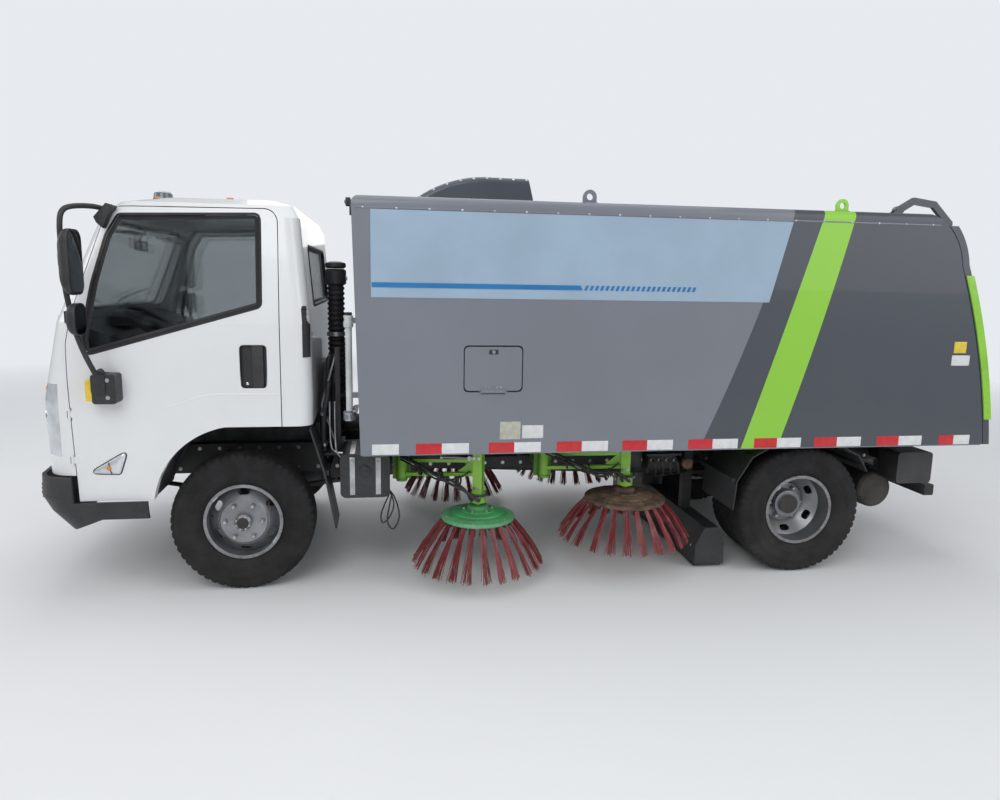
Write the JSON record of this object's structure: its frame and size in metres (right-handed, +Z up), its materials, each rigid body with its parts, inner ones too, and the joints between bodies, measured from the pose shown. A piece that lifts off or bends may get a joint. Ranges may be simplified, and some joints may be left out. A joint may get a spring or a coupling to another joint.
{
  "type": "street sweeper truck",
  "caption": "Light cab-over street sweeper truck with disc brushes, suction nozzle and a tipping hopper body with a lifting tailgate.",
  "frame": {"origin": "on the ground, at the middle of the truck's length and width", "axes": "+X forward, +Y to the truck's left, +Z up"},
  "size_m": [5.5901, 2.416, 2.3687],
  "materials": {
    "cab_white": "gloss",
    "body_grey": "satin",
    "lime_green": "gloss",
    "bracket_green": "satin",
    "chassis_black": "satin",
    "axle_black": "matte",
    "engine_block": "matte",
    "black_plastic": "matte",
    "rim_silver": "satin",
    "tyre": "matte",
    "glass": "gloss",
    "lamp_lens": "gloss",
    "seat_cloth": "matte",
    "dash_plastic": "matte",
    "bristle_red": "matte",
    "silencer_steel": "satin",
    "tank_black": "matte",
    "cylinder_steel": "satin",
    "mudguard_black": "matte"
  },
  "bodies": {
    "chassis": {"frame_rails": "chassis_black", "cross_members": "chassis_black", "front_axle": "axle_black", "rear_axle": "axle_black", "driveline": "engine_block", "side_tanks": "tank_black", "silencer": "silencer_steel", "rear_bumper": "chassis_black", "mudguards": "mudguard_black", "suction_nozzle": "black_plastic", "brush_brackets": "bracket_green", "front_bumper": "black_plastic"},
    "cab": {"cab_front": "cab_white", "cab_roof": "cab_white", "cab_rear": "cab_white", "cab_glass": "glass", "cab_floor": "black_plastic", "dashboard": "dash_plastic", "seats": "seat_cloth", "headlamps": "lamp_lens"},
    "steering_wheel": {"steering_wheel": "dash_plastic"},
    "hopper": {"body_floor": "body_grey", "body_front": "body_grey", "body_side_left": "body_grey", "body_side_right": "body_grey", "body_roof": "body_grey", "roof_cowl": "body_grey", "auxiliary_engine": "engine_block"},
    "tailgate": {"tailgate": "body_grey", "tailgate_trim": "lime_green"},
    "side_hatch": {"side_hatch": "body_grey"},
    "tip_barrel": {"tip_barrel": "chassis_black"},
    "tip_rod": {"tip_rod": "cylinder_steel"},
    "tie_rod": {"tie_rod": "axle_black"},
    "left_door": {"door_left": "cab_white", "door_glass_left": "glass", "mirror_left": "black_plastic"},
    "left_knuckle": {"knuckle_left": "axle_black"},
    "front_left_wheel": {"front_wheel_left": "rim_silver", "front_tyre_left": "tyre"},
    "rear_left_wheels": {"rear_wheels_left": "rim_silver", "rear_tyres_left": "tyre"},
    "front_left_arm": {"front_arm_left": "lime_green"},
    "front_left_brush": {"front_brush_left": "bristle_red"},
    "rear_left_arm": {"rear_arm_left": "lime_green"},
    "rear_left_brush": {"rear_brush_left": "bristle_red"},
    "right_door": {"door_right": "cab_white", "door_glass_right": "glass", "mirror_right": "black_plastic"},
    "right_knuckle": {"knuckle_right": "axle_black"},
    "front_right_wheel": {"front_wheel_right": "rim_silver", "front_tyre_right": "tyre"},
    "rear_right_wheels": {"rear_wheels_right": "rim_silver", "rear_tyres_right": "tyre"},
    "front_right_arm": {"front_arm_right": "lime_green"},
    "front_right_brush": {"front_brush_right": "bristle_red"},
    "rear_right_arm": {"rear_arm_right": "lime_green"},
    "rear_right_brush": {"rear_brush_right": "bristle_red"}
  },
  "joints": [
    {"name": "steer_left", "type": "hinge", "parent": "chassis", "child": "left_knuckle", "pos_m": [1.705, 0.664, 0.393], "axis": [0, 0, 1], "range_deg": [-35, 35]},
    {"name": "front_left_wheel_spin", "type": "hinge", "parent": "left_knuckle", "child": "front_left_wheel", "pos_m": [1.705, 0.774, 0.393], "axis": [0, 1, 0], "continuous": true},
    {"name": "rear_left_wheels_spin", "type": "hinge", "parent": "chassis", "child": "rear_left_wheels", "pos_m": [-1.603, 0.756, 0.393], "axis": [0, 1, 0], "continuous": true},
    {"name": "steer_right", "type": "hinge", "parent": "chassis", "child": "right_knuckle", "pos_m": [1.705, -0.664, 0.393], "axis": [0, 0, 1], "range_deg": [-35, 35]},
    {"name": "front_right_wheel_spin", "type": "hinge", "parent": "right_knuckle", "child": "front_right_wheel", "pos_m": [1.705, -0.774, 0.393], "axis": [0, 1, 0], "continuous": true},
    {"name": "rear_right_wheels_spin", "type": "hinge", "parent": "chassis", "child": "rear_right_wheels", "pos_m": [-1.603, -0.756, 0.393], "axis": [0, 1, 0], "continuous": true},
    {"name": "tie_rod_pivot", "type": "hinge", "parent": "left_knuckle", "child": "tie_rod", "pos_m": [1.515, 0.618, 0.307], "axis": [0, 0, 1], "range_deg": [-36, 36]},
    {"name": "cab_tilt", "type": "hinge", "parent": "chassis", "child": "cab", "pos_m": [2.643, 0, 0.752], "axis": [0, 1, 0], "range_deg": [0, 45]},
    {"name": "left_door_hinge", "type": "hinge", "parent": "cab", "child": "left_door", "pos_m": [2.5315, 0.95, 1.2], "axis": [0, 0, -1], "range_deg": [0, 70]},
    {"name": "right_door_hinge", "type": "hinge", "parent": "cab", "child": "right_door", "pos_m": [2.5315, -0.95, 1.2], "axis": [0, 0, 1], "range_deg": [0, 70]},
    {"name": "steering_wheel_turn", "type": "hinge", "parent": "cab", "child": "steering_wheel", "pos_m": [2.21, 0.43, 1.45], "axis": [-0.5736, 0, 0.8191], "range_deg": [-500, 500]},
    {"name": "body_tip", "type": "hinge", "parent": "chassis", "child": "hopper", "pos_m": [-2.593, 0, 0.77], "axis": [0, -1, 0], "range_deg": [0, 42]},
    {"name": "tip_barrel_swing", "type": "hinge", "parent": "chassis", "child": "tip_barrel", "pos_m": [-1.795, 0, 0.69], "axis": [0, -1, 0], "range_deg": [0, 65]},
    {"name": "tip_rod_slide", "type": "slide", "parent": "tip_barrel", "child": "tip_rod", "axis": [0.9988, 0, 0.0499], "range_m": [0, 0.386]},
    {"name": "tailgate_lift", "type": "hinge", "parent": "hopper", "child": "tailgate", "pos_m": [-2.255, 0, 2.23], "axis": [0, 1, 0], "range_deg": [0, 85]},
    {"name": "side_hatch_hinge", "type": "hinge", "parent": "hopper", "child": "side_hatch", "pos_m": [0.3255, 1.033, 1.153], "axis": [-1, 0, 0], "range_deg": [0, 110]},
    {"name": "front_left_arm_swing", "type": "hinge", "parent": "chassis", "child": "front_left_arm", "pos_m": [0.815, 0.6, 0.64], "axis": [0, 0, -1], "range_deg": [-10, 20]},
    {"name": "front_left_brush_spin", "type": "hinge", "parent": "front_left_arm", "child": "front_left_brush", "pos_m": [0.37, 0.79, 0.4], "axis": [0, 0, 1], "continuous": true},
    {"name": "front_right_arm_swing", "type": "hinge", "parent": "chassis", "child": "front_right_arm", "pos_m": [0.815, -0.6, 0.64], "axis": [0, 0, 1], "range_deg": [-10, 20]},
    {"name": "front_right_brush_spin", "type": "hinge", "parent": "front_right_arm", "child": "front_right_brush", "pos_m": [0.37, -0.79, 0.4], "axis": [0, 0, 1], "continuous": true},
    {"name": "rear_left_arm_swing", "type": "hinge", "parent": "chassis", "child": "rear_left_arm", "pos_m": [-0.065, 0.6, 0.64], "axis": [0, 0, -1], "range_deg": [-10, 20]},
    {"name": "rear_left_brush_spin", "type": "hinge", "parent": "rear_left_arm", "child": "rear_left_brush", "pos_m": [-0.545, 0.76, 0.4], "axis": [0, 0, 1], "continuous": true},
    {"name": "rear_right_arm_swing", "type": "hinge", "parent": "chassis", "child": "rear_right_arm", "pos_m": [-0.065, -0.6, 0.64], "axis": [0, 0, 1], "range_deg": [-10, 20]},
    {"name": "rear_right_brush_spin", "type": "hinge", "parent": "rear_right_arm", "child": "rear_right_brush", "pos_m": [-0.545, -0.76, 0.4], "axis": [0, 0, 1], "continuous": true}
  ],
  "couplings": [
    {"joint": "steer_right", "follows": "steer_left", "ratio": 1},
    {"joint": "tie_rod_pivot", "follows": "steer_left", "ratio": -1},
    {"joint": "steering_wheel_turn", "follows": "steer_left", "ratio": 14},
    {"joint": "tip_barrel_swing", "follows": "body_tip", "ratio": 1.5446},
    {"joint": "tip_rod_slide", "follows": "body_tip", "m_per_rad": 0.52513}
  ]
}
